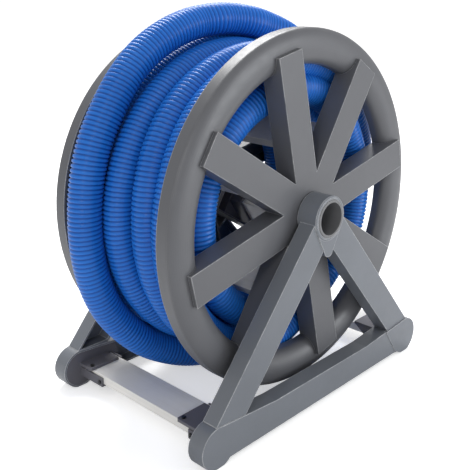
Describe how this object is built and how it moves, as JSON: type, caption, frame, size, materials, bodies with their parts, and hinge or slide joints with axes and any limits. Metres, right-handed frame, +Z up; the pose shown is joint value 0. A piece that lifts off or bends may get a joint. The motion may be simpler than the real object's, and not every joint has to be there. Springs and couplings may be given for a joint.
{
  "type": "hose reel",
  "caption": "Free-standing pool vacuum-hose reel: two A-frames on aluminium crossbars carry a spoked two-wheel drum wound with corrugated hose that spins on hollow stub axles.",
  "frame": {"origin": "on the floor under the middle of the axle", "axes": "+X to the right seen from the front, +Y along the axle from front to rear, +Z up"},
  "size_m": [0.5223, 0.311, 0.529],
  "materials": {
    "frame_plastic": "satin grey moulded plastic",
    "wheel_plastic": "satin grey moulded plastic",
    "sockets": "matt dark moulded plastic",
    "aluminium": "mill-finish extrusion",
    "screws": "blackened steel",
    "hose": "glossy blue corrugated polyethylene",
    "cuffs": "blue moulded plastic"
  },
  "bodies": {
    "frame": {"front_leg_frame": "frame_plastic", "rear_leg_frame": "frame_plastic", "front_base_rail": "frame_plastic", "rear_base_rail": "frame_plastic", "front_foot_cap": "frame_plastic", "rear_foot_cap": "frame_plastic", "left_crossbar": "aluminium", "right_crossbar": "aluminium", "front_left_socket": "sockets", "rear_left_socket": "sockets", "front_right_socket": "sockets", "rear_right_socket": "sockets", "socket_screws": "screws", "frame_screws": "screws"},
    "reel": {"front_rim": "wheel_plastic", "rear_rim": "wheel_plastic", "front_spider": "wheel_plastic", "rear_spider": "wheel_plastic", "front_stub_axle": "wheel_plastic", "rear_stub_axle": "wheel_plastic", "axle_screws": "screws", "rim_screws": "screws", "drum_bar_1": "aluminium", "drum_bar_2": "aluminium", "drum_bar_3": "aluminium", "drum_bar_4": "aluminium", "front_bar_socket_1": "sockets", "front_bar_socket_2": "sockets", "front_bar_socket_3": "sockets", "front_bar_socket_4": "sockets", "rear_bar_socket_1": "sockets", "rear_bar_socket_2": "sockets", "rear_bar_socket_3": "sockets", "rear_bar_socket_4": "sockets", "drum_screws": "screws", "hose_coil": "hose", "hose_inner_cuff": "cuffs", "hose_outer_cuff": "cuffs"}
  },
  "joints": [
    {"name": "reel_spin", "type": "hinge", "parent": "frame", "child": "reel", "pos_m": [0, 0, 0.267], "axis": [0, 1, 0], "continuous": true}
  ]
}
